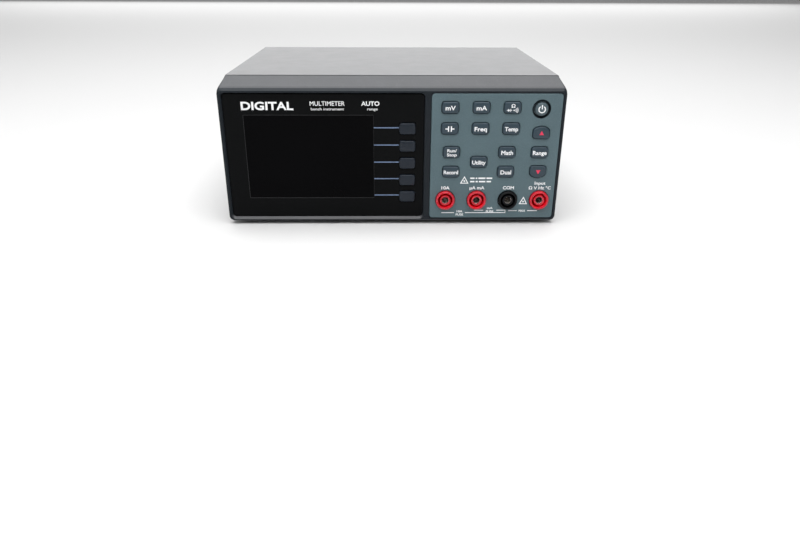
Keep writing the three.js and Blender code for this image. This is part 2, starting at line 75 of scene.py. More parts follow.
# ------------------------------------------------------------------ camera
def make_camera():
    yaw, pitch, roll = math.radians(-1.02), math.radians(24.57), math.radians(0.26)
    right = Vector((math.cos(yaw), math.sin(yaw), 0))
    ahead = Vector((-math.sin(yaw), math.cos(yaw), 0))
    depth = ahead * math.cos(pitch) - Vector((0, 0, 1)) * math.sin(pitch)
    up = ahead * math.sin(pitch) + Vector((0, 0, 1)) * math.cos(pitch)
    r2 = right * math.cos(roll) + up * math.sin(roll)
    u2 = up * math.cos(roll) - right * math.sin(roll)
    data = bpy.data.cameras.new("camera")
    data.sensor_fit = "HORIZONTAL"
    data.sensor_width = 36.0
    data.lens = 663.4 / 800 * 36.0
    data.clip_start, data.clip_end = 0.01, 60
    cam = bpy.data.objects.new("camera", data)
    m = Matrix((r2, u2, -depth)).transposed().to_4x4()
    m.translation = Vector((-2.2, -456.8, 146.6)) * MM
    cam.matrix_world = m
    bpy.context.scene.collection.objects.link(cam)
    bpy.context.scene.camera = cam


make_camera()


# ------------------------------------------------------------------ materials
def new_material(name):
    m = bpy.data.materials.new(name)
    m.use_nodes = True
    m.node_tree.nodes.clear()
    out = m.node_tree.nodes.new("ShaderNodeOutputMaterial")
    bsdf = m.node_tree.nodes.new("ShaderNodeBsdfPrincipled")
    m.node_tree.links.new(bsdf.outputs[0], out.inputs[0])
    return m, m.node_tree, bsdf


def noise(tree, coord, scale, detail=2.0, rough=0.5, stretch=None):
    n = tree.nodes.new("ShaderNodeTexNoise")
    n.inputs["Scale"].default_value = scale
    n.inputs["Detail"].default_value = detail
    n.inputs["Roughness"].default_value = rough
    if stretch:
        mp = tree.nodes.new("ShaderNodeMapping")
        mp.inputs["Scale"].default_value = stretch
        tree.links.new(coord, mp.inputs["Vector"])
        tree.links.new(mp.outputs[0], n.inputs["Vector"])
    else:
        tree.links.new(coord, n.inputs["Vector"])
    return n.outputs["Fac"]


def remap(tree, value, lo, hi, a=0.3, b=0.7):
    n = tree.nodes.new("ShaderNodeMapRange")
    n.inputs["From Min"].default_value = a
    n.inputs["From Max"].default_value = b
    n.inputs["To Min"].default_value = lo
    n.inputs["To Max"].default_value = hi
    tree.links.new(value, n.inputs["Value"])
    return n.outputs["Result"]


def blend(tree, fac, a, b):
    n = tree.nodes.new("ShaderNodeMix")
    n.data_type = "RGBA"
    for socket, value in ((0, fac), (6, a), (7, b)):
        if isinstance(value, bpy.types.NodeSocket):
            tree.links.new(value, n.inputs[socket])
        elif socket == 0:
            n.inputs[0].default_value = value
        else:
            n.inputs[socket].default_value = (*value, 1)
    return n.outputs[2]


def bump(tree, height, strength, distance, normal=None):
    n = tree.nodes.new("ShaderNodeBump")
    n.inputs["Strength"].default_value = strength
    n.inputs["Distance"].default_value = distance
    tree.links.new(height, n.inputs["Height"])
    if normal is not None:
        tree.links.new(normal, n.inputs["Normal"])
    return n.outputs[0]


def srgb(r, g, b):
    def f(c):
        c /= 255
        return c / 12.92 if c <= 0.04045 else ((c + 0.055) / 1.055) ** 2.4

    return (f(r), f(g), f(b))


def plastic(
    name, color, rough=0.45, grain=1400.0, depth=0.00003, strength=0.5, vary=0.06,
    edge_wear_and_highlight=0.0, specular=0.5, coat=0.0, dust=0.0, even=0.05, glow=0.0,
):
    """Moulded plastic: a fine spark-eroded grain, slight tone and gloss variation, and edges painted lighter, partly as
    rubbed wear and partly as a painted highlight of light caught on the rounded edges.
    """
    m, t, s = new_material(name)
    coord = t.nodes.new("ShaderNodeTexCoord").outputs["Object"]
    broad = noise(t, coord, 45.0, 3.0, 0.55)
    fine = noise(t, coord, grain, 2.0, 0.6)
    dark = tuple(c * (1 - vary) for c in color)
    light = tuple(min(1, c * (1 + vary)) for c in color)
    shade = blend(t, remap(t, broad, 0, 1), dark, light)
    base_colour = blend(t, remap(t, fine, 0.0, 0.5, 0.45, 0.75), shade, tuple(min(1, c * 1.35 + 0.004) for c in color))
    # Edge lightening: part rubbed wear, part painted highlight standing in for light caught on the rounded edges of
    # keys, panel and case.
    if edge_wear_and_highlight > 0:
        bevel = t.nodes.new("ShaderNodeBevel")
        bevel.samples = 4
        bevel.inputs["Radius"].default_value = 0.0007
        geo = t.nodes.new("ShaderNodeNewGeometry")
        dot = t.nodes.new("ShaderNodeVectorMath")
        dot.operation = "DOT_PRODUCT"
        t.links.new(bevel.outputs[0], dot.inputs[0])
        t.links.new(geo.outputs["Normal"], dot.inputs[1])
        edge = remap(t, dot.outputs["Value"], edge_wear_and_highlight, 0.0, 0.80, 0.99)
        base_colour = blend(t, edge, base_colour, tuple(min(1, c * 1.6 + 0.008) for c in color))
    if dust > 0:
        d = noise(t, coord, 160.0, 4.0, 0.65)
        base_colour = blend(t, remap(t, d, 0.0, dust, 0.52, 0.80), base_colour, (0.42, 0.43, 0.45))
    t.links.new(base_colour, s.inputs["Base Color"])
    t.links.new(remap(t, noise(t, coord, 110.0, 3.0), rough - even, rough + even), s.inputs["Roughness"])
    t.links.new(bump(t, fine, strength, depth), s.inputs["Normal"])
    s.inputs["Specular IOR Level"].default_value = specular
    if glow:
        s.inputs["Subsurface Weight"].default_value = glow
        s.inputs["Subsurface Radius"].default_value = (1.0, 0.12, 0.14)
        s.inputs["Subsurface Scale"].default_value = 0.004
    if coat:
        s.inputs["Coat Weight"].default_value = coat
        s.inputs["Coat Roughness"].default_value = 0.08
    return m


def gloss(name, color, rough=0.06, specular=0.5, smear=0.05):
    """Polished plastic or glass seen as black: faint smears change the gloss."""
    m, t, s = new_material(name)
    coord = t.nodes.new("ShaderNodeTexCoord").outputs["Object"]
    broad = noise(t, coord, 22.0, 4.0, 0.6)
    t.links.new(blend(t, remap(t, broad, 0, 1), tuple(c * 0.9 for c in color), tuple(c * 1.15 for c in color)), s.inputs["Base Color"])
    t.links.new(remap(t, noise(t, coord, 38.0, 5.0, 0.65), rough, rough + smear, 0.45, 0.75), s.inputs["Roughness"])
    t.links.new(bump(t, noise(t, coord, 12.0, 1.0), 0.05, 0.0002), s.inputs["Normal"])
    s.inputs["Specular IOR Level"].default_value = specular
    return m


def metal(name, color, rough=0.3, stretch=(1, 1, 1), scale=400.0, strength=0.15, tarnish=(0.4, 0.36, 0.3)):
    m, t, s = new_material(name)
    coord = t.nodes.new("ShaderNodeTexCoord").outputs["Object"]
    grain = noise(t, coord, scale, 3.0, 0.6, stretch)
    spots = noise(t, coord, 90.0, 4.0, 0.6)
    t.links.new(blend(t, remap(t, spots, 0.0, 0.25, 0.45, 0.75), color, tarnish), s.inputs["Base Color"])
    t.links.new(remap(t, grain, rough - 0.08, rough + 0.12), s.inputs["Roughness"])
    t.links.new(bump(t, grain, strength, 0.00002), s.inputs["Normal"])
    s.inputs["Metallic"].default_value = 1.0
    return m


def print_ink(name, color, rough=0.5):
    """Screen-printed ink: slightly uneven cover."""
    m, t, s = new_material(name)
    coord = t.nodes.new("ShaderNodeTexCoord").outputs["Object"]
    n = noise(t, coord, 2600.0, 3.0, 0.6)
    t.links.new(blend(t, remap(t, n, 0.0, 0.35, 0.4, 0.8), color, tuple(c * 0.72 for c in color)), s.inputs["Base Color"])
    t.links.new(remap(t, noise(t, coord, 700.0), rough - 0.06, rough + 0.08), s.inputs["Roughness"])
    t.links.new(bump(t, n, 0.2, 0.00001), s.inputs["Normal"])
    return m


def board_material():
    """Green solder mask with copper tracks showing faintly through it."""
    m, t, s = new_material("board_green")
    coord = t.nodes.new("ShaderNodeTexCoord").outputs["Object"]
    v = t.nodes.new("ShaderNodeTexVoronoi")
    v.feature = "DISTANCE_TO_EDGE"
    v.distance = "EUCLIDEAN"
    v.inputs["Scale"].default_value = 210.0
    t.links.new(coord, v.inputs["Vector"])
    tracks = remap(t, v.outputs["Distance"], 1.0, 0.0, 0.02, 0.06)
    t.links.new(blend(t, tracks, (0.008, 0.085, 0.032), (0.03, 0.19, 0.07)), s.inputs["Base Color"])
    t.links.new(remap(t, noise(t, coord, 120.0), 0.3, 0.42), s.inputs["Roughness"])
    t.links.new(bump(t, tracks, 0.3, 0.00004), s.inputs["Normal"])
    return m


def laminated(name, color, axis=1, pitch=0.5):
    """Stacked sheet: thin lines across the edges."""
    m, t, s = new_material(name)
    coord = t.nodes.new("ShaderNodeTexCoord").outputs["Object"]
    w = t.nodes.new("ShaderNodeTexWave")
    w.bands_direction = "XYZ"[axis]
    w.inputs["Scale"].default_value = 1000.0 / pitch / 20.0 * 1.0
    w.inputs["Distortion"].default_value = 0.4
    t.links.new(coord, w.inputs["Vector"])
    t.links.new(blend(t, w.outputs["Fac"], tuple(c * 0.7 for c in color), tuple(min(1, c * 1.2) for c in color)), s.inputs["Base Color"])
    t.links.new(remap(t, noise(t, coord, 200.0), 0.4, 0.6), s.inputs["Roughness"])
    t.links.new(bump(t, w.outputs["Fac"], 0.3, 0.00005), s.inputs["Normal"])
    s.inputs["Metallic"].default_value = 0.7
    return m


MAT = {
    "shell": plastic("shell_plastic", srgb(62, 63, 66), rough=0.42, grain=1500, depth=0.00004, strength=0.5, edge_wear_and_highlight=0.3, dust=0.02, even=0.012),
    # brow: a lighter copy of the bezel plastic, painted light for the brow and outer sides of the bezel.
    "brow": plastic("brow_plastic_painted_lit", srgb(53, 55, 59), rough=0.42, grain=1600, depth=0.00003, strength=0.45, edge_wear_and_highlight=0.25, dust=0.02, even=0.02),
    "bezel": plastic("bezel_plastic", srgb(26, 31, 36), rough=0.38, grain=1700, depth=0.00003, strength=0.4, edge_wear_and_highlight=0.3, dust=0.01, specular=0.14),
    "panel": plastic("panel_plastic", srgb(80, 99, 105), rough=0.50, grain=1300, depth=0.00004, strength=0.6, vary=0.05, edge_wear_and_highlight=0.45, specular=0.35),
    "key": plastic("key_plastic", srgb(41, 57, 67), rough=0.36, grain=1900, depth=0.00002, strength=0.35, vary=0.04, edge_wear_and_highlight=0.5, specular=0.4),
    "soft_key": plastic("soft_key_plastic", srgb(19, 27, 37), rough=0.32, grain=1900, depth=0.00002, strength=0.3, vary=0.04, edge_wear_and_highlight=0.6, specular=0.28),
    "rear": plastic("rear_plastic", srgb(52, 53, 56), rough=0.48, grain=1400, depth=0.00004, strength=0.5, edge_wear_and_highlight=0.3),
    "power": plastic("power_key_plastic", srgb(72, 86, 92), rough=0.38, grain=1900, depth=0.00002, strength=0.35, vary=0.04, edge_wear_and_highlight=0.4, specular=0.35),
    # bevel: a lighter copy of the bezel plastic, a painted highlight on the window pocket's chamfer.
    "bevel": plastic("bezel_bevel_painted_highlight", srgb(34, 39, 44), rough=0.38, grain=1700, depth=0.00003, strength=0.3, specular=0.2),
    "red": plastic("socket_red", srgb(184, 23, 42), rough=0.33, grain=1500, depth=0.00001, strength=0.25, vary=0.05, edge_wear_and_highlight=0.0, glow=0.5),
    # The groove red is a brighter copy of the socket red with full subsurface: painted light lifting the shaded groove.
    "red_groove_painted_light": plastic("socket_red_groove_painted_light", srgb(252, 14, 44), rough=0.45, grain=1500, depth=0.00001, strength=0.2, vary=0.03, edge_wear_and_highlight=0.0, glow=1.0),
    "black": plastic("socket_black", srgb(10, 12, 14), rough=0.34, grain=1500, depth=0.00001, strength=0.25, vary=0.08, edge_wear_and_highlight=0.25, specular=0.16),
    "inlet": plastic("inlet_black", srgb(20, 20, 22), rough=0.42, grain=1600, depth=0.00002, strength=0.35, edge_wear_and_highlight=0.3),
    "rubber": plastic("foot_rubber", srgb(26, 26, 27), rough=0.78, grain=900, depth=0.00006, strength=0.6, vary=0.1, specular=0.3, dust=0.12),
    "silicone": plastic("pad_silicone", (0.30, 0.31, 0.32), rough=0.7, grain=700, depth=0.00004, strength=0.4),
    "ribbon": plastic("ribbon_grey", (0.42, 0.42, 0.40), rough=0.55, grain=600, depth=0.00003),
    "capacitor": plastic("capacitor_sleeve", (0.012, 0.014, 0.03), rough=0.35, grain=500, depth=0.00002),
    "ceramic": plastic("fuse_ceramic", (0.78, 0.75, 0.68), rough=0.32, grain=600, depth=0.00002, vary=0.03),
    "window": gloss("window_black", srgb(9, 10, 11), rough=0.08, specular=0.05, smear=0.05),
    "display": gloss("display_area_black", srgb(3, 3, 4), rough=0.12, specular=0.035, smear=0.04),
    "lcd": gloss("display_black", srgb(8, 8, 10), rough=0.05, specular=0.5, smear=0.03),
    "steel": metal("zinc_steel", (0.56, 0.57, 0.58), rough=0.34, stretch=(1, 8, 1)),
    "contact": metal("plated_contact", (0.74, 0.70, 0.66), rough=0.26, scale=700.0, tarnish=(0.55, 0.48, 0.40)),
    "blade": metal("nickel_blade", (0.66, 0.65, 0.62), rough=0.25, scale=900.0),
    "board": board_material(),
    "core": laminated("core_steel", (0.16, 0.16, 0.17), axis=1, pitch=0.5),
    "winding": plastic("winding_tape", (0.62, 0.42, 0.08), rough=0.4, grain=300, depth=0.00006, vary=0.1),
    "white": print_ink("ink_white", (0.86, 0.87, 0.88)),
    "grey_ink": print_ink("ink_grey", srgb(150, 158, 170)),
    "line_ink": print_ink("ink_line", srgb(104, 124, 156)),
    "pink": print_ink("ink_red", srgb(226, 48, 84)),
    "edge_ink": print_ink("ink_edge", srgb(19, 20, 23)),
}
CARRIED = {
    "front_bezel": "bezel", "top_cover": "shell", "bottom_case": "shell", "rear_panel": "rear",
    "lcd_module": "lcd", "front_board": "board", "keypad_membrane": "silicone", "main_board": "board",
    "shield_can": "steel", "fuse_10a": "ceramic", "fuse_ma": "ceramic", "filter_capacitor": "capacitor",
    "ribbon_cable": "ribbon", "transformer_core": "core", "transformer_winding": "winding",
    "mains_inlet": "inlet", "fuse_drawer": "inlet", "voltage_selector": "inlet", "voltage_slider": "red",
    "usb_port": "steel", "tilt_leg_left": "bezel", "tilt_leg_right": "bezel",
    "front_foot_left": "rubber", "front_foot_right": "rubber", "rear_foot_left": "rubber", "rear_foot_right": "rubber",
}
for node, mat in CARRIED.items():
    o = NODES[node]
    o.data.materials.clear()
    o.data.materials.append(MAT[mat])


def soften(node, width, angle=28.0, segments=3):
    """Rounds a carried node's edges."""
    o = NODES[node]
    d = o.modifiers.new("flat", "DECIMATE")
    d.decimate_type = "DISSOLVE"
    d.angle_limit = math.radians(1.0)
    b = o.modifiers.new("round", "BEVEL")
    b.width = width * MM
    b.segments = segments
    b.limit_method = "ANGLE"
    b.angle_limit = math.radians(angle)
    b.use_clamp_overlap = True
    b.harden_normals = False
    w = o.modifiers.new("normals", "WEIGHTED_NORMAL")
    w.keep_sharp = False
    w.weight = 80
    for p in o.data.polygons:
        p.use_smooth = True


# ------------------------------------------------------------------ mesh helpers, all in millimetres
def rounded(x0, x1, z0, z1, r, n=6):
    out = []
    for cx, cz, a0 in ((x1 - r, z0 + r, -90), (x1 - r, z1 - r, 0), (x0 + r, z1 - r, 90), (x0 + r, z0 + r, 180)):
        for i in range(n + 1):
            a = math.radians(a0 + 90 * i / n)
            out.append((cx + r * math.cos(a), cz + r * math.sin(a)))
    return out


def centred(x, z, w, h, r, n=6):
    return rounded(x - w / 2, x + w / 2, z - h / 2, z + h / 2, r, n)


def circle(x, z, r, n=48):
    return [(x + r * math.cos(2 * math.pi * i / n), z + r * math.sin(2 * math.pi * i / n)) for i in range(n)]


def at(points, y):
    return [(x, y, z) for x, z in points]


def make(name, verts, faces, mat, body, angle=None, weighted=False):
    mesh = bpy.data.meshes.new(name)
    mesh.from_pydata([(x * MM, y * MM, z * MM) for x, y, z in verts], [], faces)
    bm = bmesh.new()
    bm.from_mesh(mesh)
    bmesh.ops.remove_doubles(bm, verts=bm.verts, dist=1e-8)
    bmesh.ops.recalc_face_normals(bm, faces=bm.faces)
    bm.to_mesh(mesh)
    bm.free()
    for p in mesh.polygons:
        p.use_smooth = True
    if angle is not None:
        mesh.set_sharp_from_angle(angle=math.radians(angle))
    o = bpy.data.objects.new(name, mesh)
    bpy.context.scene.collection.objects.link(o)
    mesh.materials.append(MAT[mat])
    if weighted:
        w = o.modifiers.new("normals", "WEIGHTED_NORMAL")
        w.keep_sharp = True
        w.weight = 90
    if body:
        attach(o, body)
    return o


class Build:
    """Collects vertices and faces of one closed piece."""

    def __init__(self):
        self.v, self.f = [], []

    def ring(self, pts):
        start = len(self.v)
        self.v += pts
        return list(range(start, start + len(pts)))

    def loft(self, rings):
        ids = [self.ring(r) for r in rings]
        for a, b in zip(ids, ids[1:]):
            n = len(a)
            for i in range(n):
                j = (i + 1) % n
                self.f.append((a[i], a[j], b[j], b[i]))
        return ids

    def fan(self, ids, centre):
        c = len(self.v)
        self.v.append(centre)
        n = len(ids)
        for i in range(n):
            self.f.append((ids[i], ids[(i + 1) % n], c))

    def face(self, loops):
        """A flat face in a plane of equal y, bounded by the first loop of vertex ids and holed by the others."""
        polys = [[Vector((self.v[i][0], self.v[i][2], 0)) for i in loop] for loop in loops]
        flat = [i for loop in loops for i in loop]
        for tri in geometry.tessellate_polygon(polys):
            self.f.append(tuple(flat[i] for i in tri))


def turned(name, profile, x, z, mat, body, slot=None, n=64, angle=35.0):
    """A turned piece about a line along Y at (x, z); profile is a closed list of (radius, y)."""
    b = Build()
    rings = []
    for r, y in profile:
        if r < 1e-6:
            rings.append([len(b.v)])
            b.v.append((x, y, z))
        else:
            rings.append(b.ring(at(circle(x, z, r, n), y)))
    pairs = list(zip(rings, rings[1:]))
    if profile[0][0] > 1e-6:
        pairs.append((rings[-1], rings[0]))
    for p, q in pairs:
        if len(p) == 1 and len(q) == 1:
            continue
        for i in range(n):
            j = (i + 1) % n
            if len(p) == 1:
                b.f.append((p[0], q[j], q[i]))
            elif len(q) == 1:
                b.f.append((p[i], p[j], q[0]))
            else:
                b.f.append((p[i], p[j], q[j], q[i]))
    return make(name, b.v, b.f, mat, body, angle)


# ------------------------------------------------------------------ lettering and marks
_font = {}


def glyphs(text):
    """Outline loops of a text in the built-in font, each with the ink on its left."""
    if text in _font:
        return _font[text]
    c = bpy.data.curves.new("text", "FONT")
    c.body = text
    c.size = 1.0
    c.resolution_u = 4
    o = bpy.data.objects.new("text", c)
    bpy.context.scene.collection.objects.link(o)
    bpy.context.view_layer.update()
    dg = bpy.context.evaluated_depsgraph_get()
    m = bpy.data.meshes.new_from_object(o.evaluated_get(dg))
    bm = bmesh.new()
    bm.from_mesh(m)
    bmesh.ops.remove_doubles(bm, verts=bm.verts, dist=1e-5)
    follow = {}
    for e in bm.edges:
        if len(e.link_faces) != 1:
            continue
        loop = e.link_loops[0]
        p, q = loop.vert, loop.link_loop_next.vert
        if loop.face.normal.z < 0:
            p, q = q, p
        follow[p] = q
    loops = []
    while follow:
        start = next(iter(follow))
        ring, v = [], start
        while v in follow:
            ring.append((v.co.x, v.co.y))
            v = follow.pop(v)
        loops.append(ring)
    bm.free()
    bpy.data.meshes.remove(m)
    bpy.data.objects.remove(o)
    bpy.data.curves.remove(c)
    _font[text] = loops
    return loops


def swell(ring, d):
    """A loop moved outwards by d, away from the ink on its left; sharp corners are held to 1.5 d."""
    n = len(ring)
    out = []
    for i in range(n):
        p, a, c = Vector(ring[i]), Vector(ring[i - 1]), Vector(ring[(i + 1) % n])
        u, v = p - a, c - p
        if u.length < 1e-9 or v.length < 1e-9:
            out.append(tuple(p))
            continue
        u.normalize()
        v.normalize()
        nu, nv = Vector((u.y, -u.x)), Vector((v.y, -v.x))
        k = 1 + nu.dot(nv)
        m = (nu + nv) / k if k > 0.2 else nu
        if m.length > 1.5:
            m = m.normalized() * 1.5
        out.append(tuple(p + m * d))
    return out


_cap = max(p[1] for ring in glyphs("H") for p in ring)


class Print:
    """Ink on a surface: flat shapes laid on whatever is behind them, with a real thickness."""

    def __init__(self, surface, thickness=0.03, step=None):
        self.v, self.f, self.surface, self.t, self.step = [], [], surface, thickness, step

    def add(self, pts, faces):
        base = len(self.v)
        self.v += pts
        self.f += [tuple(base + i for i in f) for f in faces]

    def text(self, s, x, z, cap, width=None, weight=0.06):
        """Letters with capitals cap high, width wide over all, each stroke weight bolder on both sides."""
        loops = glyphs(s)
        cap -= 2 * weight
        k = cap / _cap
        xs = [p[0] for ring in loops for p in ring]
        x0, x1 = min(xs), max(xs)
        kx = (width - 2 * weight) / (x1 - x0) if width else k
        rings = []
        for ring in loops:
            ring = [(x + (px - (x0 + x1) / 2) * kx, z - cap / 2 + py * k) for px, py in ring]
            rings.append(swell(ring, weight) if weight else ring)
        flat, edges = [], []
        for ring in rings:
            base, n = len(flat), len(ring)
            flat += [Vector(p) for p in ring]
            edges += [(base + i, base + (i + 1) % n) for i in range(n)]
        pts, _, tris = geometry.delaunay_2d_cdt(flat, edges, [], 0, 1e-5)[:3]

        def inked(px, py):
            turns = 0
            for i, j in edges:
                ax, ay = flat[i]
                bx, by = flat[j]
                side = (bx - ax) * (py - ay) - (px - ax) * (by - ay)
                if ay <= py < by and side > 0:
                    turns += 1
                elif by <= py < ay and side < 0:
                    turns -= 1
            return turns > 0

        keep = []
        for t in tris:
            px, py = (sum(pts[i][k] for i in t) / len(t) for k in (0, 1))
            if inked(px, py):
                keep.append(tuple(t))
        self.add([tuple(p) for p in pts], keep)

    def poly(self, pts):
        self.add(list(pts), [tuple(range(len(pts)))])

    def bar(self, x0, x1, z0, z1):
        self.poly([(x0, z0), (x1, z0), (x1, z1), (x0, z1)])

    def outline(self, outer, inner):
        n = len(outer)
        base = len(self.v)
        self.v += list(outer) + list(inner)
        self.f += [(base + i, base + (i + 1) % n, base + n + (i + 1) % n, base + n + i) for i in range(n)]

    def arc(self, x, z, r, t, a0, a1, n=28):
        for i in range(n):
            p, q = (math.radians(a0 + (a1 - a0) * k / n) for k in (i, i + 1))
            self.poly([(x + (r + s) * math.cos(a), z + (r + s) * math.sin(a)) for s, a in ((-t / 2, p), (t / 2, p), (t / 2, q), (-t / 2, q))])

    def triangle(self, x, z, w, h, t):
        def tri(g):
            return [(x - w / 2 + g * 1.75, z - h / 2 + g), (x + w / 2 - g * 1.75, z - h / 2 + g), (x, z + h / 2 - g * 2.0)]

        self.outline(tri(0), tri(t))

    def done(self, name, mat, body):
        bm = bmesh.new()
        vs = [bm.verts.new((x, z, 0)) for x, z in self.v]
        for f in self.f:
            try:
                bm.faces.new([vs[i] for i in f])
            except ValueError:
                pass
        bmesh.ops.remove_doubles(bm, verts=bm.verts, dist=1e-4)
        bmesh.ops.triangulate(bm, faces=bm.faces)
        for _ in range(4 if self.step else 0):
            long = [e for e in bm.edges if e.calc_length() > self.step]
            if not long:
                break
            bmesh.ops.subdivide_edges(bm, edges=long, cuts=1)
            bmesh.ops.triangulate(bm, faces=[f for f in bm.faces if len(f.verts) > 3])
        # face towards -Y: (x, z) counter-clockwise seen from the front
        for f in bm.faces:
            f.normal_update()
            if f.normal.z < 0:
                f.normal_flip()
        top = {v: Vector((v.co.x, self.surface(v.co.x, v.co.y) - self.t, v.co.y)) for v in bm.verts}
        low = {v: Vector((v.co.x, self.surface(v.co.x, v.co.y) + 0.03, v.co.y)) for v in bm.verts}
        verts, index = [], {}
        for v in bm.verts:
            index[v] = len(verts)
            verts.append(tuple(top[v]))
        n = len(verts)
        verts += [tuple(low[v]) for v in bm.verts]
        faces = []
        for f in bm.faces:
            ids = [index[v] for v in f.verts]
            faces.append(tuple(ids))
            faces.append(tuple(n + i for i in reversed(ids)))
        for e in bm.edges:
            if len(e.link_faces) == 1:
                loop = e.link_loops[0]
                a, b = index[loop.vert], index[loop.link_loop_next.vert]
                faces.append((b, a, n + a, n + b))
        bm.free()
        return make(name, verts, faces, mat, body, angle=30)


def surface_of(o, default):
    """The y, in millimetres, of the front of a piece at (x, z)."""
    m = o.data
    tree = BVHTree.FromPolygons([v.co.copy() for v in m.vertices], [tuple(p.vertices) for p in m.polygons])

    def f(x, z):
        hit = tree.ray_cast(Vector((x * MM, -1, z * MM)), Vector((0, 1, 0)))
        return hit[0].y / MM if hit[0] is not None else default

    return f


# ------------------------------------------------------------------ shells, bezel and small carried nodes
soften("top_cover", 0.7)
soften("bottom_case", 0.5)
soften("rear_panel", 0.3)
soften("mains_inlet", 0.35)
soften("fuse_drawer", 0.3)
soften("voltage_selector", 0.3)
soften("voltage_slider", 0.2)
soften("usb_port", 0.15)
for n in ("tilt_leg_left", "tilt_leg_right"):
    soften(n, 0.3)
for n in ("front_foot_left", "front_foot_right", "rear_foot_left", "rear_foot_right"):
    soften(n, 0.3, angle=35)


# ------------------------------------------------------------------ front bezel
def corner_poly(x, b, zs, xt, zt, radii, n=5):
    """The case outline as a polygon with its six corners rounded: two below, then the lower and upper end of each leaning edge."""
    poly = [(-x, b), (x, b), (x, zs), (xt, zt), (-xt, zt), (-x, zs)]
    rad = [radii[0], radii[0], radii[1], radii[2], radii[2], radii[1]]
    out = []
    for i, (p, r) in enumerate(zip(poly, rad)):
        a, c = Vector(poly[i - 1]), Vector(poly[(i + 1) % 6])
        p = Vector(p)
        u, v = (a - p).normalized(), (c - p).normalized()
        half = math.acos(max(-1, min(1, u.dot(v)))) / 2
        t = r / math.tan(half)
        mid = (u + v).normalized()
        centre = p + mid * (r / math.sin(half))
        s0, s1 = p + u * t - centre, p + v * t - centre
        turn = math.pi - 2 * half
        for k in range(n + 1):
            f = k / n
            w = (math.sin((1 - f) * turn) * s0 + math.sin(f * turn) * s1) / math.sin(turn) if turn > 1e-3 else s0
            out.append(tuple(centre + w))
    return out


def case_line(t, bottom=3.0, radii=(3.0, 2.0, 1.5)):
    """The shell outline taken in by t."""
    lean = math.hypot(7.2, 4.0)
    nx, nz = 7.2 / lean, 4.0 / lean
    px, pz = 100 - nx * t, 80.8 - nz * t
    slope = 7.2 / 4.0
    x, top = 100 - t, 88 - t
    return corner_poly(x, bottom + t, pz - (x - px) * slope, px - (top - pz) / slope, top, [max(0.4, r - t) for r in radii])


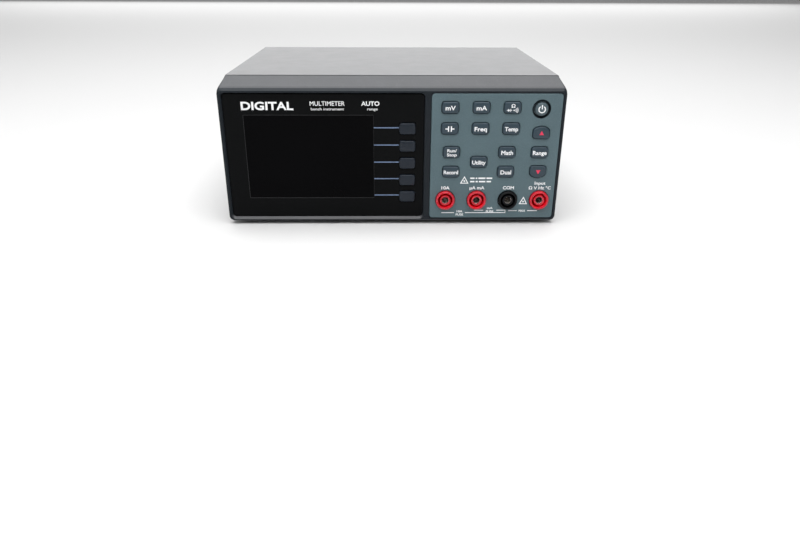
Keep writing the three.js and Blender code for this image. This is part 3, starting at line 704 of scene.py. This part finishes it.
def make_bezel():
    b = Build()
    F = FRONT_Y
    outer = [
        (0.00, 99.10, 3.30, 78.2, 97.9, 80.10, (2.4, 1.2, 1.2)),
        (0.06, 99.45, 2.95, 78.3, 98.2, 80.42, (2.6, 1.3, 1.3)),
        (0.22, 99.75, 2.65, 78.5, 98.4, 80.72, (2.8, 1.4, 1.4)),
        (0.45, 99.92, 2.48, 78.8, 98.55, 81.02, (2.9, 1.5, 1.4)),
        (0.75, 100.0, 2.40, 79.1, 98.65, 81.38, (3.0, 1.6, 1.4)),
        (1.25, 100.0, 2.40, 79.6, 98.72, 82.02, (3.0, 1.7, 1.4)),
        (1.62, 100.0, 2.40, 80.0, 98.75, 82.47, (3.0, 1.8, 1.4)),
        (1.95, 100.0, 2.40, 80.4, 98.70, 82.80, (3.0, 1.9, 1.4)),
        (2.35, 100.0, 2.40, 80.6, 98.55, 83.12, (3.0, 2.0, 1.4)),
        (4.60, 100.0, 2.40, 80.7, 97.65, 84.68, (3.0, 2.0, 1.4)),
        (7.00, 100.0, 2.40, 80.8, 96.70, 86.32, (3.0, 2.0, 1.4)),
        (8.40, 100.0, 2.40, 80.8, 96.20, 87.27, (3.0, 2.0, 1.4)),
        (8.90, 100.0, 2.40, 80.8, 96.03, 87.60, (3.0, 2.0, 1.4)),
        (9.25, 99.92, 2.48, 80.8, 95.95, 87.76, (2.9, 2.0, 1.4)),
        (9.40, 99.75, 2.65, 80.7, 95.85, 87.68, (2.8, 1.9, 1.3)),
    ]
    rings = [at(corner_poly(x, bt, zs, xt, zt, rad), F + d) for d, x, bt, zs, xt, zt, rad in outer]
    lip = 2.4 + 0.3
    inner = lip + 1.5
    rings.append(at(case_line(lip), SEAM_Y))
    rings.append(at(case_line(lip), SEAM_Y + 2.8))
    rings.append(at(case_line(lip + 0.2), SEAM_Y + 3.0))
    rings.append(at(case_line(inner), SEAM_Y + 3.0))
    rings.append(at(case_line(inner), SEAM_Y))
    rings.append(at([(x, min(z, 78.4)) for x, z in case_line(inner)], F + 4.0))
    ids = b.loft(rings)

    def pocket(w, g, bottom=None, side=None, top=None, right=None):
        gb, gs, gt, gr = (g if q is None else q for q in (bottom, side, top, right))
        return rounded(w[0] - gs, w[1] + gr, w[2] - gb, w[3] + gt, w[4] + g)

    win = [
        at(pocket(WINDOW, 0.7, 1.56, 0.85, 0.52, 0.48), F),
        at(pocket(WINDOW, 0.65, 1.44, 0.76, 0.44, 0.40), F + 0.03),
        at(pocket(WINDOW, 0.6, 1.36, 0.68, 0.38, 0.34), F + 0.10),
        at(pocket(WINDOW, 0.1, 0.15, 0.1, 0.1, 0.1), F + 1.22),
        at(pocket(WINDOW, 0.0), F + 1.34),
        at(pocket(WINDOW, 0.0), F + 2.9),
        at(rounded(-92.5, 15.4, 9, 75, 1), F + 2.9),
        at(rounded(-92.5, 15.4, 9, 75, 1), F + 4.0),
    ]
    pan = [
        at(pocket(PANEL, 0.3), F),
        at(pocket(PANEL, 0.12), F + 0.05),
        at(pocket(PANEL, 0.0), F + 0.25),
        at(pocket(PANEL, 0.0), F + 2.3),
        at(rounded(24.6, 95.7, 8, 77, 1), F + 2.3),
        at(rounded(24.6, 95.7, 8, 77, 1), F + 4.0),
    ]
    w, q = b.loft(win), b.loft(pan)
    b.face([ids[0], w[0], q[0]])
    b.face([ids[-1], w[-1], q[-1]])
    o = make("bezel_visual", b.v, b.f, "bezel", "case", angle=24, weighted=True)
    o.data.materials.append(MAT["brow"])
    o.data.materials.append(MAT["bevel"])
    # The bezel is one plastic part: its front faces keep the dark bezel plastic, while its brow, sides and underside
    # take the lighter brow plastic, a painted lit copy of the same plastic.
    for p in o.data.polygons:
        c, n = p.center / MM, p.normal
        brow = (c.y > F + 1.2 and c.z > 80.7) or (c.y > F + 0.5 and (abs(c.x) > 99.8 or c.z < 2.8))
        # Painted highlight: the window pocket's bottom ledge takes the lighter brow plastic to show light caught along
        # it.
        ledge_highlight = F + 0.1 < c.y < F + 1.3 and n.y < -0.1 and -99 < c.x < 19.5 and c.z < 6.0
        # Painted highlight: the window pocket's chamfer takes a lighter copy of the bezel plastic for the light line
        # round the window.
        bevel = F + 0.08 < c.y < F + 1.3 and n.y < -0.1 and -99 < c.x < 19.5
        if brow or ledge_highlight:
            p.material_index = 1
        elif bevel:
            p.material_index = 2
    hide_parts("front_bezel")


make_bezel()


# ------------------------------------------------------------------ display window
def plate(name, outer, y0, y1, holes, mat, body, edge=0.25):
    """A plate with a rounded front edge. outer(g) gives the outline grown by g; a hole is a list of (outline, y) from the front face to the back face."""
    b = Build()
    rings = b.loft(
        [at(outer(-edge * (1 - math.sin(a))), y0 + edge * (1 - math.cos(a))) for a in (0.0, 0.4, 0.8, 1.2, math.pi / 2)]
        + [at(outer(0), y1)]
    )
    cuts = [b.loft([at(p, y) for p, y in h]) for h in holes]
    b.face([rings[0]] + [list(reversed(c[0])) for c in cuts])
    b.face([list(reversed(rings[-1]))] + [c[-1] for c in cuts])
    return make(name, b.v, b.f, mat, body, angle=32, weighted=True)


window = plate(
    "window_visual",
    lambda g: rounded(WINDOW[0] + 0.3 - g, WINDOW[1] - 0.3 + g, WINDOW[2] + 0.3 - g, WINDOW[3] - 0.3 + g, 1.9 + g),
    WINDOW_Y,
    WINDOW_Y + 1.4,
    [
        [
            (centred(SOFT_X, z, SOFT_W + 0.8, SOFT_H + 0.8, SOFT_R + 0.4), WINDOW_Y),
            (centred(SOFT_X, z, SOFT_W + 0.6, SOFT_H + 0.6, SOFT_R + 0.3), WINDOW_Y + 0.12),
            (centred(SOFT_X, z, SOFT_W + 0.6, SOFT_H + 0.6, SOFT_R + 0.3), WINDOW_Y + 1.4),
        ]
        for z in SOFT_Z
    ],
    "window",
    "case",
)
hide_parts("display_window")

# ------------------------------------------------------------------ key panel
def arched(x, z, w, h, up, g, n=6):
    """A key outline whose top (up) or bottom long edge bulges, grown by g."""
    W, H, r = w / 2 + g, h / 2 + g, KEY_R + g
    s = 1 if up else -1
    pts = []
    for a0, sx in ((180, -1), (270, 1)):
        for i in range(n + 1):
            a = math.radians(a0 + 90 * i / n)
            pts.append((x + sx * (W - r) + r * math.cos(a), z + s * (-H + r + r * math.sin(a))))
    rise = 1.9
    m = 2 * (n + 1)
    for i in range(m):
        t = 1 - 2 * i / (m - 1)
        soft = 0.35 * abs(t) ** 8
        pts.append((x + W * t * (0.995 - 0.02 * abs(t) ** 6), z + s * (H - rise * t * t - soft)))
    return pts if up else list(reversed(pts))


def key_outline(name, g):
    x, z = KEYS[name]
    if name == "key_range_up":
        return arched(x, z, KEY_W, KEY_H + 0.6, True, g)
    if name == "key_range_down":
        return arched(x, z, KEY_W, KEY_H + 0.6, False, g)
    return centred(x, z, KEY_W + 2 * g, KEY_H + 2 * g, KEY_R + g)


PB = PANEL_Y + 2.0
holes = []
for name in KEYS:
    holes.append([(key_outline(name, 0.5), PANEL_Y), (key_outline(name, 0.36), PANEL_Y + 0.06), (key_outline(name, 0.3), PANEL_Y + 0.22), (key_outline(name, 0.3), PB)])
for x in JACK_X:
    holes.append([(circle(x, JACK_Z, 6.25), PANEL_Y), (circle(x, JACK_Z, 6.1), PANEL_Y + 0.08), (circle(x, JACK_Z, 6.05), PANEL_Y + 0.25), (circle(x, JACK_Z, 6.05), PB)])
holes.append(
    [
        (circle(*POWER, r, 64), PANEL_Y + d)
        for r, d in ((5.72, 0.0), (5.56, 0.05), (5.4, 0.18), (5.22, 0.42), (5.05, 0.75), (4.86, 1.1), (4.66, 1.4), (4.5, 1.6), (4.4, 1.8), (4.4, 2.0))
    ]
)
panel = plate(
    "panel_visual",
    lambda g: rounded(PANEL[0] + 0.25 - g, PANEL[1] - 0.25 + g, PANEL[2] + 0.25 - g, PANEL[3] - 0.25 + g, 1.95 + g),
    PANEL_Y,
    PB,
    holes,
    "panel",
    "case",
    edge=0.4,
)
# Painted shade: the dished well round the power button takes the dark bezel plastic to stand in for the shadowed gap
# round the button.
panel.data.materials.append(MAT["bezel"])
for q in panel.data.polygons:
    c = q.center / MM
    if c.y > PANEL_Y + 0.3 and math.hypot(c.x - POWER[0], c.z - POWER[1]) < 5.4:
        q.material_index = 1
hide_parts("key_panel")


# ------------------------------------------------------------------ keys
def dome_key(name, outline, centre, front, crown, mat, edge=0.55, flange=None, stem=None, shelf=(-70.4, -69.7)):
    """A key cap: straight sides, a rounded edge and a crowned face. outline(g) is its outline grown by g."""
    cx, cz = centre
    b = Build()
    fx, fz = flange
    sx, sz = stem
    rim = outline(0)
    n = len(rim)

    def scaled(k, y):
        return [(cx + (x - cx) * k, y, cz + (z - cz) * k) for x, z in rim]

    def box_ring(hx, hz, y):
        # the outline's points pushed out to a rectangle, so that the loft keeps its point count
        out = []
        for x, z in rim:
            dx, dz = x - cx, z - cz
            k = min(hx / abs(dx) if abs(dx) > 1e-6 else 1e9, hz / abs(dz) if abs(dz) > 1e-6 else 1e9)
            out.append((cx + dx * k, y, cz + dz * k))
        return out

    near, far = shelf
    rings = [box_ring(sx, sz, -67.3), box_ring(sx, sz, far), box_ring(fx, fz, far), box_ring(fx, fz, near), at(outline(0), near)]
    steps = [0.0, 0.35, 0.7, 1.05, 1.35]
    for a in steps:
        rings.append(at(outline(-edge * (1 - math.cos(a))), front + edge - edge * math.sin(a)))
    inner = outline(-edge * 0.98)
    for k in (1.0, 0.9, 0.75, 0.55, 0.3):
        rings.append([(cx + (x - cx) * k, front - crown * (1 - k * k), cz + (z - cz) * k) for x, z in inner])
    ids = b.loft(rings)
    b.fan(list(reversed(ids[-1])), (cx, front - crown, cz))
    b.fan(ids[0], (cx, -67.3, cz))
    o = make(name + "_cap", b.v, b.f, mat, name, angle=40)
    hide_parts(name)
    return o


caps = {}
for name in KEYS:
    caps[name] = dome_key(
        name, lambda g, nm=name: key_outline(nm, g), KEYS[name], PANEL_Y - 1.2, 0.22, "key", edge=0.75, flange=(5.6, 3.85), stem=(2.2, 1.8)
    )
for i, z in enumerate(SOFT_Z):
    name = f"soft_key_{i + 1}"
    caps[name] = dome_key(
        name,
        lambda g, zz=z: centred(SOFT_X, zz, SOFT_W + 2 * g, SOFT_H + 2 * g, SOFT_R + g),
        (SOFT_X, z),
        WINDOW_Y - 1.25,
        0.15,
        "soft_key",
        edge=0.75,
        flange=(5.4, 3.85),
        stem=(2.0, 1.6),
        shelf=(-69.95, -69.15),
    )
power = turned(
    "power_cap",
    [(0, -74.1), (1.5, -74.08), (2.6, -74.02), (3.2, -73.94), (3.52, -73.8), (3.72, -73.56), (3.8, -73.25), (3.8, -70.6), (4.9, -70.6), (4.9, -69.6), (2.2, -69.6), (2.2, -67.5), (0, -67.5)],
    *POWER,
    "power",
    "power_button",
    "key_plastic",
    angle=40,
)
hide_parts("power_button")

LEGENDS = {
    "key_millivolt": [("mV", 0, -0.1, 2.6, 5.8)],
    "key_milliamp": [("mA", 0, -0.1, 2.6, 6.0)],
    "key_ohm": [("Ω", 0.2, 1.15, 1.9, 2.2)],
    "key_frequency": [("Freq", 0, -0.1, 2.5, 7.2)],
    "key_temperature": [("Temp", 0, -0.1, 2.5, 7.8)],
    "key_run_stop": [("Run/", 0.2, 1.15, 1.8, 5.6), ("Stop", 0.2, -1.35, 1.8, 5.8)],
    "key_math": [("Math", 0, -0.1, 2.5, 7.0)],
    "key_range_auto": [("Range", 0, -0.1, 2.4, 8.2)],
    "key_utility": [("Utility", 0, -0.1, 2.4, 8.0)],
    "key_record": [("Record", 0, -0.1, 2.3, 8.6)],
    "key_dual": [("Dual", 0, -0.1, 2.5, 6.4)],
}
for name, (x, z) in KEYS.items():
    if name.startswith("key_range_") and name != "key_range_auto":
        p = Print(surface_of(caps[name], PANEL_Y - 1.3), 0.03, 0.5)
        s = 1 if name == "key_range_up" else -1
        p.poly([(x - 1.35 * s, z - 1.15 * s - 0.1 * s), (x + 1.35 * s, z - 1.15 * s - 0.1 * s), (x, z + 1.15 * s)])
        p.done("legend_" + name, "pink", name)
        continue
    p = Print(surface_of(caps[name], PANEL_Y - 1.3), 0.03, 0.5)
    for text, dx, dz, cap, width in LEGENDS.get(name, []):
        p.text(text, x + dx, z + dz, cap, width, weight=0.09 if cap > 2 else 0.07)
    if name == "key_capacitance":
        p.bar(x - 1.15, x - 0.5, z - 1.6, z + 1.6)
        p.bar(x + 0.5, x + 1.15, z - 1.6, z + 1.6)
        p.bar(x - 2.6, x - 1.15, z - 0.33, z + 0.33)
        p.bar(x + 1.15, x + 2.6, z - 0.33, z + 0.33)
    if name == "key_ohm":
        # diode symbol and sounder arcs
        zz = z - 1.35
        p.bar(x - 3.5, x - 2.75, zz - 0.15, zz + 0.15)
        p.poly([(x - 2.75, zz - 0.8), (x - 1.45, zz), (x - 2.75, zz + 0.8)])
        p.bar(x - 1.45, x - 1.1, zz - 0.8, zz + 0.8)
        p.bar(x - 1.1, x - 0.4, zz - 0.15, zz + 0.15)
        p.poly(circle(x + 0.75, zz, 0.42, 12))
        for k in range(3):
            p.arc(x + 0.75, zz, 1.0 + 0.65 * k, 0.3, -42, 42, 8)
    p.done("legend_" + name, "white", name)
p = Print(surface_of(power, -74.1), 0.03, 0.4)
p.arc(*POWER, 1.85, 0.62, -235, 55, 32)
p.bar(POWER[0] - 0.31, POWER[0] + 0.31, POWER[1] + 0.1, POWER[1] + 2.5)
p.done("legend_power", "white", "power_button")

# ------------------------------------------------------------------ printing on the panel and the window
p = Print(lambda x, z: PANEL_Y)
p.text("10A", JACK_X[0], 23.3, 2.0, 4.9, 0.08)
p.text("μA mA", JACK_X[1], 23.3, 2.0, 9.0, 0.08)
p.text("COM", JACK_X[2], 23.3, 2.0, 6.7, 0.08)
p.text("Input", JACK_X[3] - 0.1, 26.2, 1.9, 6.6, 0.07)
p.text("Ω V Hz °C", JACK_X[3], 23.2, 1.9, 13.4, 0.07)
p.triangle(43.1, 28.3, 5.2, 4.6, 0.5)
p.poly(circle(43.1, 27.6, 0.55, 12))
p.triangle(79.6, 15.3, 5.2, 4.8, 0.5)
p.poly(circle(79.6, 14.5, 0.55, 12))
for z, w in ((29.3, (2.6, 0.9, 4.2, 3.4)), (27.2, (2.6, 1.3, 3.9, 2.7))):
    x = 46.6
    for k in w:
        p.bar(x, x + k, z - 0.45, z + 0.45)
        x += k + 0.7
p.bar(29.9, 37.6, 7.2, 7.65)
p.bar(44.4, 69.2, 7.2, 7.65)
p.bar(68.8, 69.2, 7.65, 8.7)
p.bar(49.9, 55.4, 8.75, 9.2)
p.bar(63.6, 69.2, 8.75, 9.2)
p.bar(71.0, 76.2, 8.45, 8.9)
p.bar(82.6, 88.6, 8.45, 8.9)
p.text("10A", 41.0, 8.3, 1.35, 3.6)
p.text("FUSE", 41.0, 6.2, 1.35, 4.6)
p.text("mA", 59.5, 10.4, 1.35, 3.4)
p.text("FUSE", 59.5, 8.2, 1.35, 4.6)
p.text("MAX", 79.4, 8.6, 1.35, 4.0)
p.done("print_panel", "white", "case")

p = Print(lambda x, z: WINDOW_Y, 0.02)
p.text("DIGITAL", -72.0, 71.9, 4.7, 30.0, weight=0.22)
p.text("MULTIMETER", -37.5, 73.3, 2.5, 20.0, weight=0.03)
p.text("bench instrument", -37.5, 70.2, 1.4, 19.0, weight=0.02)
p.text("AUTO", -12.8, 73.3, 2.5, 10.5, weight=0.09)
p.text("range", -11.6, 70.2, 1.4, 6.0, weight=0.02)
p.done("print_window", "white", "case")
p = Print(lambda x, z: WINDOW_Y, 0.02)
for z in (59.4, 49.2, 38.9, 28.7, 18.4):
    p.bar(-11.0, 3.7, z - 0.3, z + 0.3)
p.done("print_soft_lines", "line_ink", "case")
p = Print(lambda x, z: WINDOW_Y, 0.006)
p.poly(rounded(-86.1, -11.3, 16.9, 66.5, 0.4))
p.done("print_display_area", "display", "case")
p = Print(lambda x, z: WINDOW_Y, 0.01)
p.outline(rounded(-86.4, -11.1, 16.6, 66.8, 0.6), rounded(-86.2, -11.2, 16.85, 66.6, 0.4))
p.done("print_display_edge", "edge_ink", "case")

# ------------------------------------------------------------------ safety jacks
y = JACK_FRONT
for name, x in zip(("10a", "ma", "com", "input"), JACK_X):
    mat = "black" if name == "com" else "red"
    slot = "black_plastic" if name == "com" else "red_plastic"
    o = turned(
        f"socket_{name}",
        [
            (5.0, y), (5.3, y + 0.05), (5.55, y + 0.2), (5.7, y + 0.42), (5.75, y + 0.7),
            (5.75, -70.5), (6.3, -70.5), (6.3, -69.2), (5.75, -69.2), (5.75, -50.6), (2.75, -50.6), (2.75, y + 1.4),
            (2.15, y + 1.4), (2.15, y + 0.85), (2.25, y + 0.68), (2.42, y + 0.6), (2.85, y + 0.6), (3.08, y + 0.66), (3.2, y + 0.84),
            (3.2, -55), (4.4, -55), (4.4, y + 0.6), (4.46, y + 0.3), (4.6, y + 0.08), (4.78, y),
        ],
        x, JACK_Z, mat, "case", slot, n=72, angle=30,
    )
    # Painted light: the groove between the outer ring and the post takes the brighter groove red.
    if mat == "red":
        o.data.materials.append(MAT["red_groove_painted_light"])
        for q in o.data.polygons:
            c = q.center / MM
            rad = math.hypot(c.x - x, c.z - JACK_Z)
            if c.y > y + 0.25 and 3.1 < rad < 4.5:
                q.material_index = 1
    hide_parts("jack_" + name)
    o = turned(
        f"sleeve_{name}",
        [(0, -48.4), (2.5, -48.4), (2.5, y + 1.62), (2.42, y + 1.5), (2.05, y + 1.5), (1.92, y + 1.66), (1.92, -52), (0, -52)],
        x, JACK_Z, "contact", "case", "contact_brass", n=48, angle=35,
    )
    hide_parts("contact_" + name)

# ------------------------------------------------------------------ case screws
for name, x, yy in (
    ("case_screw_front_left", -90, -38),
    ("case_screw_front_right", 90, -38),
    ("case_screw_rear_left", -90, 50),
    ("case_screw_rear_right", 90, 50),
):
    o = NODES[name]
    o.data.materials.clear()
    o.data.materials.append(MAT["steel"])


# ------------------------------------------------------------------ floor, lights
def make_stage():
    mesh = bpy.data.meshes.new("floor")
    bm = bmesh.new()
    prof = [(-14.0, 0.0), (3.0, 0.0)] + [(3.0 + 1.2 * math.sin(a), 1.2 - 1.2 * math.cos(a)) for a in [math.pi / 2 * i / 12 for i in range(1, 13)]] + [(4.2, 12.0)]
    rows = [[bm.verts.new((sx * 14.0, yy, zz)) for sx in (-1, 1)] for yy, zz in prof]
    for a, b in zip(rows, rows[1:]):
        bm.faces.new((a[0], a[1], b[1], b[0]))
    bm.to_mesh(mesh)
    bm.free()
    for q in mesh.polygons:
        q.use_smooth = True
    o = bpy.data.objects.new("floor", mesh)
    bpy.context.scene.collection.objects.link(o)
    m, t, s = new_material("floor_pale")
    s.inputs["Base Color"].default_value = (0.64, 0.64, 0.64, 1)
    s.inputs["Roughness"].default_value = 0.8
    s.inputs["Specular IOR Level"].default_value = 0.2
    mesh.materials.append(m)

    def area(name, loc, aim, w, h, power, color=(1, 1, 1)):
        d = bpy.data.lights.new(name, "AREA")
        d.shape = "RECTANGLE"
        d.size, d.size_y = w, h
        d.energy = power
        d.color = color
        ob = bpy.data.objects.new(name, d)
        ob.location = loc
        ob.rotation_euler = (Vector(aim) - Vector(loc)).to_track_quat("-Z", "Y").to_euler()
        bpy.context.scene.collection.objects.link(ob)

    area("light_top", (0.0, 0.15, 1.5), (0, 0, 0), 1.6, 1.0, 22)
    area("light_back", (0.0, 2.3, 0.75), (0, 0, 0.1), 3.4, 1.3, 32)
    area("light_near", (0.0, -0.40, 0.64), (0, -0.09, 0.04), 1.0, 0.34, 4.4)
    area("light_left", (-1.5, -1.0, 1.1), (0, -0.05, 0.05), 0.9, 0.9, 3.2)
    area("light_front", (0.7, -1.7, 1.3), (0, 0, 0.04), 1.0, 0.8, 1.8)
    world = bpy.data.worlds.new("world")
    world.use_nodes = True
    bg = world.node_tree.nodes["Background"]
    bg.inputs[0].default_value = (1, 1, 1, 1)
    bg.inputs[1].default_value = 0.35
    bpy.context.scene.world = world
    bpy.context.scene.view_settings.view_transform = "Standard"


make_stage()
